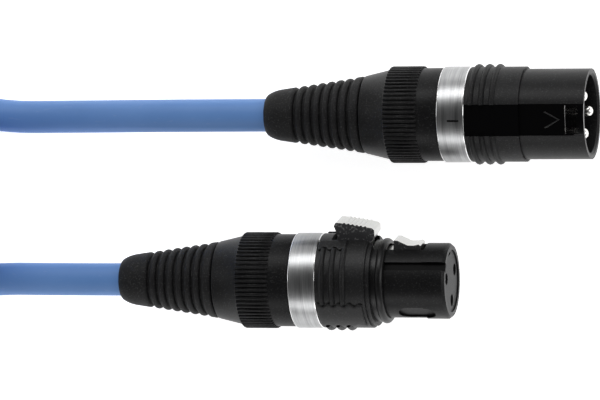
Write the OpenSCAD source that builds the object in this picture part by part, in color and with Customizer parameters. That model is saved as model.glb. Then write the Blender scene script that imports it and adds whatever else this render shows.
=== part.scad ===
// Microphone cable: a blue balanced cable wound in a coil, with a male and a female
// three-pole round connector on its two ends, lying side by side on a surface.
// Frame: X runs along both connectors towards their mating faces, Z is up,
// and the origin is on the surface under the middle of the two connectors.
// Each connector is drawn in its own frame: Z along its axis from the mouth of the
// boot, X towards its key or latch, Y across.

/* [Cable] */
// Outside diameter of the cable jacket
cable_d = 7; // [6:0.5:7]
// How deep the jacket reaches into each connector, from the boot's mouth
jacket_depth = 28; // [26:1:29]
// Diameter of one insulated wire
wire_d = 1.6; // [1.2:0.1:1.8]

/* [Layout] */
// Distance between the axes of the two connectors
pair_pitch = 35; // [30:1:40]
// How far the male connector is set forward of the female one
stagger = 32; // [26:1:36]
// How far the male key leans off vertical, in degrees
male_lean = 9; // [0:1:20]
// How far the female latch leans up off level, in degrees
female_lean = 14; // [0:1:20]

/* [Boot] */
// Length of the soft boot
boot_l = 21.6; // [20:0.1:22]
// Radius of the boot where its nose ends
boot_nose_r = 5.5; // [5.2:0.1:5.8]
// Radius of the boot at its wide end
boot_end_r = 8.2; // [8:0.1:8.3]
// Number of flex grooves in the boot
boot_grooves = 7; // [4:1:7]
// Depth of a flex groove
groove_depth = 0.8; // [0.4:0.1:0.9]

/* [Collar] */
// Front end of the collar's cone, from the boot's mouth
cone_end = 27.2; // [26:0.1:28]
// Front end of the knurled band
knurl_end = 34.5; // [33:0.1:35]
// Radius over the knurl's crests
knurl_r = 10.15; // [10:0.05:10.3]
// Number of knurl teeth
knurl_teeth = 66; // [40:2:72]
// Radius of the plain band in front of the knurl
band_r = 9.8; // [9.6:0.05:9.9]
// Thread pitch of the collar
thread_pitch = 1.5; // [1:0.25:2]

/* [Ring and grip] */
// Rear edge of the metal marking ring
ring_start = 38.8; // [38.5:0.1:39]
// Front edge of the marking ring and rear edge of the grip
grip_start = 44.7; // [44:0.1:45]
// Front edge of the grip
grip_end = 56.2; // [56:0.1:56.5]
// Radius of the marking ring
ring_r = 10.1; // [10:0.05:10.3]
// Radius of the grip between its ribs
grip_r = 10; // [9.9:0.05:10.1]
// Height of a grip rib
rib_h = 0.6; // [0.3:0.05:0.6]

/* [Male connector] */
// Overall length of the male connector
male_l = 70; // [69:0.5:72]
// Outside radius of the male barrel
male_barrel_r = 9.5; // [9.4:0.05:9.6]
// Inside radius of the male barrel
male_bore_r = 8.2; // [8.1:0.05:8.3]
// Radius of a contact pin
pin_r = 1.2; // [1.1:0.05:1.2]
// Radius of the circle that the contacts stand on
contact_pcr = 4.2; // [4:0.1:4.3]
// Angle of contacts 1 and 2 off the key, in degrees
contact_angle = 70; // [60:1:75]

/* [Female connector] */
// Overall length of the female connector
female_l = 72.1; // [71:0.1:73]
// Outside radius of the female barrel's nose
female_barrel_r = 8; // [7.95:0.01:8]
// Radius of a socket's mouth
socket_r = 1.25; // [1.25:0.01:1.3]

/* [Latch] */
// Width of the thumb piece
thumb_w = 6; // [5.5:0.5:9]
// Width of the latch bar and its catch
catch_w = 4.5; // [4:0.5:5]

/* [Coil] */
// Distance of the coil's centre from the origin
coil_x = -122; // [-140:1:-122]
// Radius from the coil's centre to the middle of its bundle
coil_r = 33.7; // [32:0.1:34]
// Width of the bundle of turns
bundle_w = 15.7; // [14:0.1:16]
// Height of the bundle of turns
bundle_h = 25.9; // [24:0.1:26]
// Width of the hook-and-loop tie
tie_w = 14; // [10:1:20]

/* [Hidden] */
$fn = 64;
eps = 0.01;
turn_gap = 0.1; // between flat faces that turn on each other
round_gap = 0.2; // between round faces that turn on each other

lead_y = pair_pitch / 2;
rib_r = grip_r + rib_h;
axis_z = rib_r; // both connectors lie on their grip ribs
half_x = (stagger + male_l) / 2;
female_x = -half_x;
male_x = half_x - male_l;

jacket_bore = cable_d / 2 + 0.3;
neck_r = 5.4;
flange_r = 6.2;
flange_end = boot_l + 2.4;
collar_start = boot_l + turn_gap;
collar_end = ring_start - turn_gap;
thread_start = 33;
thread_bore = 8.5;
thread_r = thread_bore - round_gap;
tube_bore = 7.2;
chuck_start = flange_end + 0.5;
chuck_flange = 32.4;
chuck_end = 36;
strip_w = 6.6; // the flat strip along the male key
insert_r = tube_bore - 0.05;
insert_face = 58.2;
male_insert_back = 52;
cup_start = 46;
cup_r = 1.4;
cup_bore = 0.9;
knee_z = 44.5; // where a wire turns to run straight into its cup
pin_tip = male_l - 0.6;
window_z = [male_l - 4.1, male_l - 1.3];
window_w = 6;
rim_chamfer = 0.45;
seal_end = 59;
relief_r = female_barrel_r - 0.2; // the barrel is relieved beside the catch
nose_start = 67.1;
female_insert_back = 50;
channel_floor = 4.5;
contact_angles = [contact_angle, -contact_angle, 180];
keyway_angle = 52.5;
keyway_w = 1.9;
keyway_floor = 7.1;
recess_angle = 137; // the shallow pocket on the side away from the latch
recess_r = 2;
recess_z = [63.5, 67.4];
latch_pivot = [6.2, 45.4]; // radius and place along the axis
latch_pin_r = 0.8;
bar_bottom = 6.3;
bar_top = 7.15;
slot_gap = 0.2;
lever_slot_w = catch_w + 2 * slot_gap;
pocket_w = thumb_w + 2 * slot_gap;
pocket_z = [47.2, 57.2];
tie_t = 1.2;
tube_sides = 12;

// The cable's route where it isn't coiled, from each connector to the coil
MALE_ROUTE = [
    [9, 17.5, 10.6], [-5, 17.5, 10.6], [-19, 17.5, 10.6], [-26, 17.5, 10.6], [-33, 17.5, 10.5],
    [-40, 17.5, 10], [-47, 17.5, 8.8], [-54, 17.5, 7.1], [-61, 17.5, 5.4], [-68, 17.5, 4.1],
    [-73, 17.5, 3.6], [-77, 17.6, 3.5], [-82, 18.1, 3.5], [-87, 19.3, 3.6], [-91.5, 21.4, 3.9],
    [-95.2, 24.1, 4.4]
];
FEMALE_ROUTE = [
    [-23, -17.5, 10.6], [-37, -17.5, 10.6], [-51, -17.5, 10.6], [-58, -17.5, 10.6],
    [-64, -17.5, 10.4], [-70, -17.5, 9.8], [-76, -17.5, 8.9], [-81, -17.8, 8.1],
    [-86, -18.9, 7.3], [-90.5, -20.8, 6.7], [-94.5, -23.7, 6.3]
];

// ---------- helpers ----------

module placed(x0, y0, roll) {
    translate([x0, y0, axis_z]) rotate([roll, 0, 0]) rotate([0, 90, 0]) children();
}

module at_male() placed(male_x, lead_y, 180 + male_lean) children();

module at_female() placed(female_x, -lead_y, 90 + female_lean) children();

module ring(z0, z1, r_out, r_in) {
    difference() {
        translate([0, 0, z0]) cylinder(h = z1 - z0, r = r_out);
        translate([0, 0, z0 - 1]) cylinder(h = z1 - z0 + 2, r = r_in);
    }
}

// A straight rod with a round end, from point a to point b
module rod(a, b, r) {
    d = b - a;
    long = norm(d);
    translate(a) rotate([0, acos(d[2] / long), atan2(d[1], d[0])]) cylinder(h = long, r = r, $fn = 24);
}

function polar(r, angle, z) = [r * cos(angle), r * sin(angle), z];

// ---------- boot, collar, chuck and marking ring: the same on both connectors ----------

groove_pitch = 2;
groove_first = 7;
groove_w = 1.6;
groove_foot = 0.32;
taper_start = 3.4;
boot_rim = 0.5;

function boot_r(z) = boot_nose_r + (boot_end_r - boot_nose_r) * (z - taper_start) / (boot_l - taper_start);

// The outline of one flex groove, as radius and place along the axis
function groove(z) = [
    [boot_r(z - groove_w / 2), z - groove_w / 2],
    [boot_r(z) - 0.22, z - groove_w / 2 + 0.22],
    [boot_r(z) - groove_depth + 0.06, z - groove_foot],
    [boot_r(z) - groove_depth, z],
    [boot_r(z) - groove_depth + 0.06, z + groove_foot],
    [boot_r(z) - 0.22, z + groove_w / 2 - 0.22],
    [boot_r(z + groove_w / 2), z + groove_w / 2]
];

boot_nose = [[jacket_bore, 0], [4.1, 0.15], [4.7, 0.9], [5.15, 1.8], [boot_nose_r - 0.1, 2.6]];
boot_front = [
    [boot_r(boot_l - 2 * boot_rim), boot_l - 2 * boot_rim], [boot_end_r - 0.35, boot_l - 1.3 * boot_rim],
    [boot_end_r - 0.8, boot_l - 0.7 * boot_rim], [boot_end_r - 0.9, boot_l],
    [neck_r, boot_l], [neck_r, boot_l + 1.3], [flange_r, boot_l + 1.3],
    [flange_r, flange_end], [jacket_bore, flange_end]
];

module boot() {
    grooves = [for (i = [0:boot_grooves - 1]) each groove(groove_first + i * groove_pitch)];
    color("#1b1b1b")
        rotate_extrude() polygon(concat(boot_nose, [[boot_nose_r, taper_start]], grooves, boot_front));
}

module knurl() {
    tooth = [for (i = [0:2 * knurl_teeth - 1]) (i % 2 == 0 ? knurl_r : knurl_r - 0.28)];
    step = 180 / knurl_teeth;
    outline = [for (i = [0:2 * knurl_teeth - 1]) tooth[i] * [cos(i * step), sin(i * step)]];
    translate([0, 0, cone_end]) linear_extrude(height = knurl_end - cone_end) polygon(outline);
}

// The hollow in the collar: the boot's seat, the cone over the chuck and the thread
module collar_hollow() {
    wall_end = collar_start + 1.1;
    rotate_extrude() polygon([
        [0, collar_start - 1], [neck_r + round_gap, collar_start - 1], [neck_r + round_gap, wall_end],
        [flange_r + round_gap, wall_end], [tube_bore + 0.4, thread_start - 0.6],
        [thread_bore, thread_start - 0.4], [thread_bore, collar_end + 1], [0, collar_end + 1]
    ]);
}

module collar() {
    cone_r = [8.25, 9.55];
    color("#202020") difference() {
        union() {
            rotate_extrude() polygon([
                [0, collar_start], [cone_r[0], collar_start], [cone_r[1], cone_end + 0.3],
                [band_r, cone_end + 0.3], [band_r, collar_end], [0, collar_end]
            ]);
            knurl();
        }
        collar_hollow();
    }
}

module chuck() {
    slit = 0.8;
    color("#c9c9c2") difference() {
        rotate_extrude() polygon([
            [cable_d / 2, chuck_start], [5.4, chuck_start], [6.5, chuck_flange],
            [tube_bore - 0.1, thread_start + 0.2], [tube_bore - 0.1, chuck_end], [cable_d / 2, chuck_end]
        ]);
        for (angle = [0, 90]) rotate([0, 0, angle])
            translate([-8, -slit / 2, chuck_start - 1]) cube([16, slit, 7]);
    }
}

// The solid core that both shells are cut from: the thread and the seat of ring and grip
module core() {
    translate([0, 0, thread_start]) cylinder(h = ring_start - thread_start + eps, r = thread_r);
    translate([0, 0, ring_start]) cylinder(h = grip_end - ring_start, r = thread_bore);
}

module marking_ring() {
    color("#b9bcc0") ring(ring_start, grip_start, ring_r, thread_bore);
}

module wires() {
    bend = [
        [1.9, jacket_depth + 0.1], [1.9, 36.5], [2.5, 39.5], [3.6, 42],
        [contact_pcr, knee_z], [contact_pcr, cup_start]
    ];
    color("#b3262a") for (angle = contact_angles)
        tube([for (p = bend) polar(p[0], angle, p[1])], wire_d / 2, [0, 1, 0]);
}

// ---------- male connector ----------

module grip_core(r, z1) {
    ring(grip_start, z1, r, thread_bore);
}

rib_places = [grip_start + 1.35, grip_start + 3.6, grip_start + 5.85];
rib_w = 1.3;

// The outline of one grip rib, rounded at its crest
module rib_outline(z) {
    polygon([
        for (a = [-90:30:90]) [grip_r - 0.3 + (rib_h + 0.3) * cos(a), z + rib_w / 2 * sin(a)]
    ]);
}

module male_grip() {
    flat = sqrt(pow(grip_r, 2) - pow(strip_w / 2, 2)) - 0.12;
    color("#1e1e1e") difference() {
        union() {
            grip_core(grip_r, grip_end);
            for (z = rib_places) rotate_extrude() rib_outline(z);
        }
        translate([flat, -strip_w / 2, grip_start - 1]) cube([3, strip_w, grip_end - grip_start + 2]);
    }
}

module male_shell() {
    flat = sqrt(pow(male_barrel_r, 2) - pow(strip_w / 2, 2)) - 0.12;
    rib_depth = 0.8;
    color("#161616") union() {
        difference() {
            union() {
                core();
                translate([0, 0, grip_end]) cylinder(h = male_l - grip_end, r = male_barrel_r);
            }
            translate([0, 0, thread_start - 1])
                cylinder(h = insert_face - thread_start + 1 + eps, r = tube_bore);
            translate([0, 0, insert_face]) cylinder(h = male_l - insert_face + 1, r = male_bore_r);
            translate([0, 0, male_l - rim_chamfer])
                cylinder(h = rim_chamfer + eps, r1 = male_bore_r, r2 = male_bore_r + rim_chamfer);
            translate([flat, -strip_w / 2, grip_end - 1]) cube([3, strip_w, male_l - grip_end - 1.2]);
            translate([5, -window_w / 2, window_z[0]]) cube([8, window_w, window_z[1] - window_z[0]]);
        }
        rotate([0, 0, -keyway_angle]) translate([male_bore_r - rib_depth, -0.5, insert_face - 1])
            cube([rib_depth + 0.5, 1, 8]);
    }
}

module male_insert() {
    color("#101010") difference() {
        translate([0, 0, male_insert_back]) cylinder(h = insert_face - male_insert_back, r = insert_r);
        for (angle = contact_angles)
            translate(polar(contact_pcr, angle, male_insert_back - 1)) cylinder(h = 8, r = cup_r + 0.02);
    }
}

module male_pin(angle) {
    place = polar(contact_pcr, angle, 0);
    color("#e9e6da") translate(place) {
        difference() {
            translate([0, 0, cup_start]) cylinder(h = insert_face - cup_start, r = cup_r);
            translate([0, 0, cup_start - 1]) cylinder(h = 1 + eps, r = cup_bore);
        }
        translate([0, 0, insert_face - eps]) cylinder(h = pin_tip - pin_r - insert_face + eps, r = pin_r);
        translate([0, 0, pin_tip - pin_r]) sphere(r = pin_r);
    }
}

// ---------- female connector ----------

panel_span = 70;
panel_angles = [70, -70, 180];

module latch_pocket() {
    translate([channel_floor, -pocket_w / 2, pocket_z[0]])
        cube([8, pocket_w, pocket_z[1] - pocket_z[0]]);
    translate([channel_floor, -lever_slot_w / 2, latch_pivot[1] - 1.8])
        cube([4.2, lever_slot_w, nose_start - latch_pivot[1] + 1.8]);
}

module pin_bore() {
    translate([latch_pivot[0], 0, latch_pivot[1]]) rotate([90, 0, 0])
        cylinder(h = 20, r = latch_pin_r, center = true);
}

module female_grip() {
    front_step = 0.9;
    color("#1e1e1e") difference() {
        union() {
            grip_core(grip_r, grip_end - front_step);
            ring(grip_end - front_step - eps, grip_end, grip_r - 0.45, thread_bore);
            for (angle = panel_angles, z = rib_places)
                rotate([0, 0, angle - panel_span / 2]) rotate_extrude(angle = panel_span) rib_outline(z);
        }
        translate([channel_floor, -pocket_w / 2, pocket_z[0]]) cube([8, pocket_w, 12]);
    }
}

module female_shell() {
    color("#161616") difference() {
        union() {
            core();
            translate([0, 0, grip_end]) cylinder(h = nose_start - grip_end, r = relief_r);
            translate([0, 0, nose_start]) cylinder(h = female_l - 0.6 - nose_start, r = female_barrel_r);
            translate([0, 0, female_l - 0.6])
                cylinder(h = 0.6, r1 = female_barrel_r, r2 = female_barrel_r - 0.5);
        }
        translate([0, 0, thread_start - 1]) cylinder(h = 20, r = tube_bore);
        translate([0, 0, female_insert_back]) cylinder(h = 30, r = insert_r - 0.6);
        latch_pocket();
        pin_bore();
        rotate([0, 0, keyway_angle]) translate([keyway_floor, -keyway_w / 2, seal_end])
            cube([2, keyway_w, 20]);
        rotate([0, 0, recess_angle]) translate([7.2, -recess_r, recess_z[0]])
            cube([2, 2 * recess_r, recess_z[1] - recess_z[0]]);
        for (z = recess_z) rotate([0, 0, recess_angle]) translate([7.2, 0, z]) rotate([0, 90, 0])
            cylinder(h = 2, r = recess_r, $fn = 48);
    }
}

module female_seal_ring() {
    bead_r = 0.9;
    color("#0d0d0d") rotate_extrude() union() {
        translate([relief_r + 0.05, grip_end]) square([0.8, 1.9]);
        translate([relief_r + 0.05 + bead_r - 0.6, seal_end - bead_r]) intersection() {
            circle(r = bead_r, $fn = 32);
            translate([0.6 - bead_r, -bead_r]) square([2 * bead_r, 2 * bead_r]);
        }
    }
}

module female_insert() {
    color("#101010") difference() {
        translate([0, 0, female_insert_back])
            cylinder(h = female_l - 0.3 - female_insert_back, r = insert_r - 0.65);
        translate([channel_floor, -lever_slot_w / 2, female_insert_back - 1])
            cube([8, lever_slot_w, nose_start - female_insert_back + 1]);
        translate([5.6, -0.9, nose_start - 1]) cube([3, 1.8, 8]);
        for (angle = contact_angles)
            translate(polar(contact_pcr, angle, female_insert_back - 1)) cylinder(h = 19.8, r = 1.7);
        for (angle = contact_angles)
            translate(polar(contact_pcr, angle, female_l - 4)) cylinder(h = 6, r = socket_r);
    }
}

module female_socket(angle) {
    mouth = 68.7;
    color("#d8b562") translate(polar(contact_pcr, angle, 0)) difference() {
        union() {
            translate([0, 0, cup_start]) cylinder(h = 4, r = cup_r);
            translate([0, 0, cup_start + 4 - eps]) cylinder(h = mouth - cup_start - 4 + eps, r = 1.65);
        }
        translate([0, 0, cup_start - 1]) cylinder(h = 1 + eps, r = cup_bore);
        translate([0, 0, mouth - 11]) cylinder(h = 12, r = socket_r);
    }
}

// ---------- latch ----------

// The bar from its pivot eye to the catch, as place along the axis and radius
bar_outline = [
    [latch_pivot[1], bar_bottom - 1], [48, bar_bottom], [66.1, bar_bottom], [66.2, 8.15],
    [65.8, 8.45], [64.7, 8.2], [63.4, 8.25], [61.3, 9.25], [60.5, 9.3], [60.3, bar_top],
    [48, bar_top], [latch_pivot[1], bar_top - 0.3]
];
thumb_outline = [
    [48.2, 8.95], [48.6, 10.6], [47.9, 12.6], [48.3, 13.3], [49, 13.3], [56.1, 12.15],
    [56.6, 11.7], [56.6, 10.4], [55.6, 8.95]
];

module swept_plate(outline, width) {
    translate([0, width / 2, 0]) rotate([90, 0, 0]) rotate([0, 0, 90]) mirror([0, 1, 0])
        linear_extrude(height = width) polygon(outline);
}

module latch_lever() {
    stem = [[49.5, bar_top - 0.5], [49.5, 9.2], [55.3, 9.2], [55.3, bar_top - 0.5]];
    color("#d9d9d6") difference() {
        union() {
            swept_plate(bar_outline, catch_w);
            swept_plate(stem, catch_w);
            swept_plate(thumb_outline, thumb_w);
            translate([latch_pivot[0], catch_w / 2, latch_pivot[1]]) rotate([90, 0, 0])
                cylinder(h = catch_w, r = 1.5);
            for (z = [50.2:0.9:55.6]) translate([13 - (z - 50.2) * 0.16, thumb_w / 2, z]) rotate([90, 0, 0])
                cylinder(h = thumb_w, r = 0.3, $fn = 16);
        }
        translate([latch_pivot[0], 0, latch_pivot[1]]) rotate([90, 0, 0])
            cylinder(h = 20, r = latch_pin_r + 0.05, center = true);
    }
}

module latch_pin() {
    color("#a8a8a8") translate([latch_pivot[0], 0, latch_pivot[1]]) rotate([90, 0, 0])
        cylinder(h = 9, r = latch_pin_r - 0.01, center = true);
}

// A leaf of spring steel along the floor of the latch channel, bowed up at its free end
module latch_spring() {
    color("#9da3a8") swept_plate([
        [51, channel_floor], [53, channel_floor], [56.5, 5.1], [56.5, 5.35], [52.9, 4.8], [51, 4.8]
    ], catch_w - 1.4);
}

// ---------- cable ----------

function unit(v) = v / norm(v);
function heading(p, i) = unit(p[min(i + 1, len(p) - 1)] - p[max(i - 1, 0)]);
function ring_points(p, t, r, ref) = let (side = unit(cross(t, ref)), up = cross(side, t))
    [for (k = [0:tube_sides - 1]) let (a = 360 * k / tube_sides) p + r * (cos(a) * side + sin(a) * up)];

// A plain tube along a route: one ring of points at each route point, and two flat ends
module tube(route, r, ref) {
    n = len(route);
    rings = [for (i = [0:n - 1]) each ring_points(route[i], heading(route, i), r, ref)];
    sides = [for (i = [0:n - 2], k = [0:tube_sides - 1]) let (k2 = (k + 1) % tube_sides)
        [i * tube_sides + k, (i + 1) * tube_sides + k, (i + 1) * tube_sides + k2, i * tube_sides + k2]];
    first = [for (k = [0:tube_sides - 1]) k];
    last = [for (k = [tube_sides - 1:-1:0]) (n - 1) * tube_sides + k];
    polyhedron(points = rings, faces = concat([first, last], sides));
}

module cord_tube(route) {
    color("#3f64a8") tube(route, cable_d / 2, [0, 0, 1]);
}

// The bundle's cross-section: a slot shape with round top and bottom
module bundle_outline(grow) {
    r = bundle_w / 2 + grow;
    translate([coil_r, bundle_w / 2]) circle(r = r);
    translate([coil_r, bundle_h - bundle_w / 2]) circle(r = r);
    translate([coil_r - r, bundle_w / 2]) square([2 * r, bundle_h - bundle_w]);
}

module cord_coil() {
    color("#3f64a8") translate([coil_x, 0, 0]) rotate_extrude() bundle_outline(0);
}

module cable_tie() {
    span = tie_w / coil_r * 180 / PI;
    color("#151515") translate([coil_x, 0, 0]) rotate([0, 0, 180 - span / 2])
        rotate_extrude(angle = span) intersection() {
            difference() {
                bundle_outline(tie_t);
                bundle_outline(-tie_t / 2);
            }
            square([2 * coil_r, 2 * bundle_h]);
        }
}

at_male() male_shell();
at_male() male_grip();
at_male() marking_ring();  // male_marking_ring
at_male() male_insert();
at_male() male_pin(contact_angles[0]);  // male_pin_1
at_male() male_pin(contact_angles[1]);  // male_pin_2
at_male() male_pin(contact_angles[2]);  // male_pin_3
at_male() chuck();  // male_chuck
at_male() collar();  // male_collar
at_male() boot();  // male_boot
at_male() wires();  // male_wires
at_female() female_shell();
at_female() female_grip();
at_female() marking_ring();  // female_marking_ring
at_female() female_seal_ring();
at_female() female_insert();
at_female() female_socket(contact_angles[0]);  // female_socket_1
at_female() female_socket(contact_angles[1]);  // female_socket_2
at_female() female_socket(contact_angles[2]);  // female_socket_3
at_female() latch_lever();
at_female() latch_pin();
at_female() latch_spring();
at_female() chuck();  // female_chuck
at_female() collar();  // female_collar
at_female() boot();  // female_boot
at_female() wires();  // female_wires
cord_tube(MALE_ROUTE);  // cord_male_lead
cord_tube(FEMALE_ROUTE);  // cord_female_lead
cord_coil();
cable_tie();
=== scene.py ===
"""Looks model of a tied microphone cable with a male and a female three-pole connector."""

from __future__ import annotations

import logging
import math
from dataclasses import dataclass, field
from enum import Enum
from typing import Any, Callable, Iterable, Sequence

import bmesh
import bpy
from mathutils import Matrix, Vector

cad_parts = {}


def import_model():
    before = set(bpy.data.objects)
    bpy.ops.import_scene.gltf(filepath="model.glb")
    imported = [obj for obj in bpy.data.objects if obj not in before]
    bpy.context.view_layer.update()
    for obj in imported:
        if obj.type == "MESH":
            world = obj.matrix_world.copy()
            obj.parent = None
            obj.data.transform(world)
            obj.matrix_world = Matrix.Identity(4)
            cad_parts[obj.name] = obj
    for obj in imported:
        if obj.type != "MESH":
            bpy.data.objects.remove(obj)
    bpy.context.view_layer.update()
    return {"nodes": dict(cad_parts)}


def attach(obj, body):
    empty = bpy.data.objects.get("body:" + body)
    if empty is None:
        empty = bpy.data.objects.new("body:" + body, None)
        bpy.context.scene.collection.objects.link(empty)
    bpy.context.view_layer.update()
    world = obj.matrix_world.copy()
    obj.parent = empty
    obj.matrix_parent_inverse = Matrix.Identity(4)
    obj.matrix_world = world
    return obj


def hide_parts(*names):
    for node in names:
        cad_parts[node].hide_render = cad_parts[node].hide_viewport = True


LOG = logging.getLogger("cable")
MM = 0.001
SHARP = 42.0  # degrees between faces from which an edge is kept sharp
SPAN_STEPS = 12  # steps between two points of a smooth path
TURN_STEPS = 40  # points of the cable's path in one turn of the coil

Colour = Place = tuple[float, float, float]
Piece = bpy.types.Object
Finish = bpy.types.Material
Shape = bmesh.types.BMesh
Ring = list[bmesh.types.BMVert]


# ---------- node graphs ----------


class Wire:
    """An output socket that takes part in Python arithmetic by adding Math nodes."""

    def __init__(self, graph: "Graph", socket: bpy.types.NodeSocket) -> None:
        """Keeps an output socket and the graph that new Math nodes go into."""
        self.graph = graph
        self.socket = socket

    def _math(self, operation: str, *values: Any) -> "Wire":
        """Returns the result of one Math node on the given values."""
        return self.graph.node("ShaderNodeMath", {"operation": operation}, dict(enumerate(values)))

    def __add__(self, other: Any) -> "Wire":
        """Adds."""
        return self._math("ADD", self, other)

    __radd__ = __add__

    def __sub__(self, other: Any) -> "Wire":
        """Subtracts."""
        return self._math("SUBTRACT", self, other)

    def __rsub__(self, other: Any) -> "Wire":
        """Subtracts this from a number."""
        return self._math("SUBTRACT", other, self)

    def __mul__(self, other: Any) -> "Wire":
        """Multiplies."""
        return self._math("MULTIPLY", self, other)

    __rmul__ = __mul__

    def __abs__(self) -> "Wire":
        """Drops the sign."""
        return self._math("ABSOLUTE", self)

    def sine(self) -> "Wire":
        """Takes the sine."""
        return self._math("SINE", self)

    def over(self, edge: float, soft: float) -> "Wire":
        """Returns a mask that rises from 0 to 1 across an edge, soft to each side."""
        ranges = {"From Min": edge - soft, "From Max": edge + soft, "Value": self}
        return self.graph.node("ShaderNodeMapRange", {"clamp": True}, ranges)


class Graph:
    """A node tree that is built with one method."""

    def __init__(self, tree: bpy.types.NodeTree) -> None:
        """Wraps a material's or a geometry modifier's node tree."""
        self.tree = tree

    def node(
        self,
        kind: str,
        settings: dict[str, Any] | None = None,
        inputs: dict[str | int, Any] | None = None,
        out: str | int = 0,
    ) -> Wire:
        """Adds a node.

        Args:
            kind: the node's type name.
            settings: attributes of the node, set before its sockets.
            inputs: values or wires for its sockets, by name, identifier or place.
            out: the output that is returned, by name, identifier or place.

        Returns:
            The chosen output.
        """
        node = self.tree.nodes.new(kind)
        for name, value in (settings or {}).items():
            if name == "stops":
                self._ramp(node.color_ramp, value)
            else:
                setattr(node, name, value)
        for name, value in (inputs or {}).items():
            socket = self._find(node.inputs, name)
            if isinstance(value, Wire):
                self.tree.links.new(value.socket, socket)
            else:
                socket.default_value = value
        found = self._find(node.outputs, out) if len(node.outputs) else None
        return Wire(self, found)

    def add(self, kind: str, **inputs: Any) -> Wire:
        """Adds a plain node; an input's name has an underscore for each space."""
        return self.node(kind, None, {name.replace("_", " "): v for name, v in inputs.items()})

    def part(self, vector: Wire, axis: int) -> Wire:
        """Returns one component of a vector."""
        return self.node("ShaderNodeSeparateXYZ", None, {0: vector}, axis)

    @staticmethod
    def _ramp(ramp: bpy.types.ColorRamp, stops: Sequence[tuple[float, Colour]]) -> None:
        """Sets a colour ramp's stops, each a place and a colour."""
        while len(ramp.elements) < len(stops):
            ramp.elements.new(1.0)
        for element, (place, colour) in zip(ramp.elements, stops):
            element.position = place
            element.color = (*colour, 1.0)

    @staticmethod
    def _find(sockets: Any, name: str | int) -> bpy.types.NodeSocket:
        """Finds a socket by its place, identifier or name."""
        if isinstance(name, int):
            return sockets[name]
        for socket in sockets:
            if socket.identifier == name:
                return socket
        return sockets[name]


class Paint(Graph):
    """A material's shader graph, with the few patterns that the finishes share."""

    def __init__(self, name: str) -> None:
        """Makes an empty material.

        Args:
            name: the material's name.
        """
        self.material = bpy.data.materials.new(name)
        self.material.use_nodes = True
        super().__init__(self.material.node_tree)
        self.tree.nodes.clear()
        self.place = self.node("ShaderNodeTexCoord", out="Object")
        self.x, self.y, self.z = (self.part(self.place, i) for i in range(3))

    def noise(self, scale: float, detail: float = 3.0, where: Wire | None = None) -> Wire:
        """Returns noise from 0 to 1, with a scale in features to a metre."""
        where = where or self.place
        return self.add("ShaderNodeTexNoise", Vector=where, Scale=scale, Detail=detail)

    def stretched(self, scale: Colour) -> Wire:
        """The object's own coordinates, scaled by a different amount along each axis."""
        return self.add("ShaderNodeMapping", Vector=self.place, Scale=scale)

    def blend(self, factor: Any, low: Any, high: Any) -> Wire:
        """Mixes two colours, each a tuple or a wire."""
        low, high = ((*c, 1.0) if isinstance(c, tuple) else c for c in (low, high))
        inputs = {"Factor_Float": factor, "A_Color": low, "B_Color": high}
        return self.node("ShaderNodeMix", {"data_type": "RGBA"}, inputs, "Result_Color")

    def bump(self, height: Wire, depth: float) -> Wire:
        """Turns a height from 0 to 1 into a normal, with its depth in metres."""
        return self.add("ShaderNodeBump", Height=height, Distance=depth)

    def finish(self, **sockets: Any) -> Finish:
        """Ends the graph in one surface shader.

        Args:
            sockets: the shader's inputs, with an underscore for each space.

        Returns:
            The finished material.
        """
        shader = self.add("ShaderNodeBsdfPrincipled", **sockets)
        self.add("ShaderNodeOutputMaterial", Surface=shader)
        return self.material


# ---------- finishes ----------


class Grain(Enum):
    """A moulded surface's mean roughness, grains to a metre and their depth in metres."""

    SATIN = (0.4, 4600.0, 0.00002)
    SPARK = (0.46, 3600.0, 0.00004)
    SOFT = (0.6, 3400.0, 0.00004)
    GLOSS = (0.34, 2500.0, 0.000006)


@dataclass(frozen=True)
class ShadeBand:
    """A band along a connector with its own roughness; its deeper black is painted shade (the
    male's glossy flat strip, the female's keyway channel).

    Attributes:
        seat: the connector.
        angle: degrees from its key or latch to the middle of the band.
        half: half the band's width in metres.
        roughness: how rough the band is.
        start: where it starts, in metres from the boot's mouth.
    """

    seat: Seat
    angle: float
    half: float
    roughness: float
    start: float = 44.7 * MM

    def mask(self, p: Paint) -> Wire:
        """Returns 1 on the band and 0 off it."""
        turn = math.radians(self.angle)
        out = self.seat.key * math.cos(turn) + self.seat.across * math.sin(turn)
        side = self.seat.across * math.cos(turn) - self.seat.key * math.sin(turn)
        y, z = p.y - self.seat.side, p.z - self.seat.height
        off = abs(y * side.y + z * side.z)
        facing = (y * out.y + z * out.z).over(0.0, 0.0001)
        ahead = (p.x - (self.seat.mouth + self.start)).over(0.0, 0.0001)
        return (self.half - off).over(0.0, 0.00004) * facing * ahead


@dataclass(frozen=True)
class Moulded:
    """Moulded plastic or rubber, with grain, faint dust and a little wear."""

    name: str
    colour: Colour
    grain: Grain
    dust: float = 0.25
    specular: float = 0.15
    shade_band: ShadeBand | None = None

    def paint(self) -> Finish:
        """Returns the material."""
        p = Paint(self.name)
        mean, fineness, depth = self.grain.value
        cloud = p.noise(160.0, 4.0)
        fine = p.noise(fineness, 2.0)
        speck = p.noise(3400.0, 2.0).over(0.63, 0.06)
        pale = tuple(c * 2.0 + 0.006 for c in self.colour)
        body = p.blend(cloud * self.dust, self.colour, pale)
        body = p.blend(speck * self.dust, body, tuple(c + 0.05 for c in self.colour))
        rough = fine * 0.12 + cloud * 0.1 + (mean - 0.11)
        height = fine * 0.8 + cloud * 0.2
        if self.shade_band:
            band = self.shade_band.mask(p)
            # painted shade: the band is painted a deeper black than the shell
            body = p.blend(band, body, (0.0016, 0.0016, 0.0018))
            rough = rough * (1.0 - band) + band * self.shade_band.roughness
            height = height * (1.0 - band)
        return p.finish(
            Base_Color=body, Roughness=rough, Specular_IOR_Level=self.specular,
            Normal=p.bump(height, depth),
        )


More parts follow.
